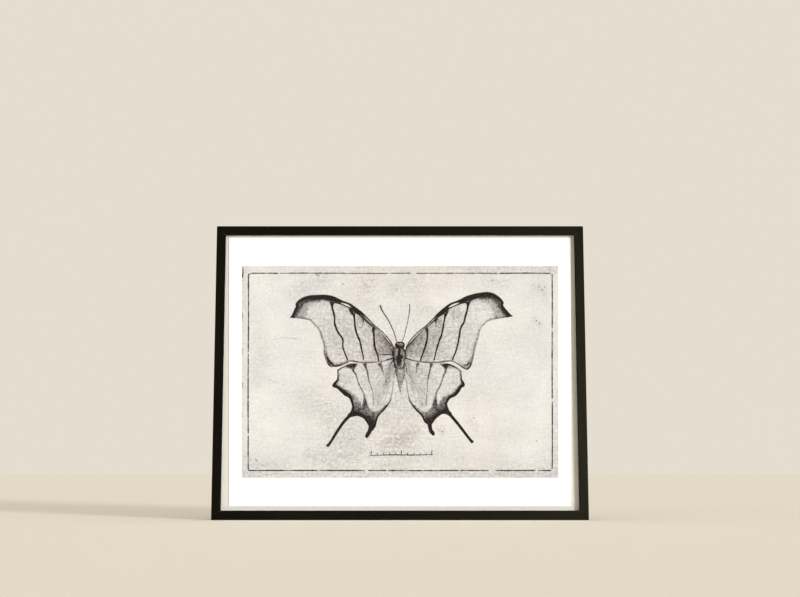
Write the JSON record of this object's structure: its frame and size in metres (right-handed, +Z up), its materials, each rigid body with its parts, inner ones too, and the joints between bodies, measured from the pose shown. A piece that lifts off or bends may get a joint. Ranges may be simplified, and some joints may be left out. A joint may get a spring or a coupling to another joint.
{
  "type": "framed print",
  "caption": "Slim black mitred wooden frame holding a printed sheet float-mounted on cream board behind clear glass, with a sawtooth hanger on its back.",
  "frame": {"origin": "middle of the bottom rail's underside, on the surface that the frame stands on", "axes": "+X to the right as seen from the front, +Y towards the back, +Z up"},
  "size_m": [0.3856, 0.018, 0.305],
  "materials": {
    "black_wood": "satin",
    "clear_glass": "polished",
    "white_paper": "matte",
    "cream_board": "matte",
    "hardboard": "matte",
    "steel": "satin",
    "aluminium": "satin"
  },
  "bodies": {
    "root": {"rail_top": "black_wood", "rail_bottom": "black_wood", "rail_left": "black_wood", "rail_right": "black_wood", "glazing": "clear_glass", "print_sheet": "white_paper", "mount_board": "cream_board", "backing_board": "hardboard", "tab_top_left": "steel", "tab_top_centre": "steel", "tab_top_right": "steel", "tab_bottom_left": "steel", "tab_bottom_centre": "steel", "tab_bottom_right": "steel", "tab_left_upper": "steel", "tab_left_lower": "steel", "tab_right_upper": "steel", "tab_right_lower": "steel", "corner_nail_top_left": "steel", "corner_nail_top_right": "steel", "corner_nail_bottom_left": "steel", "corner_nail_bottom_right": "steel", "hanger": "steel", "hanger_rivet_left": "aluminium", "hanger_rivet_right": "aluminium"}
  },
  "joints": []
}
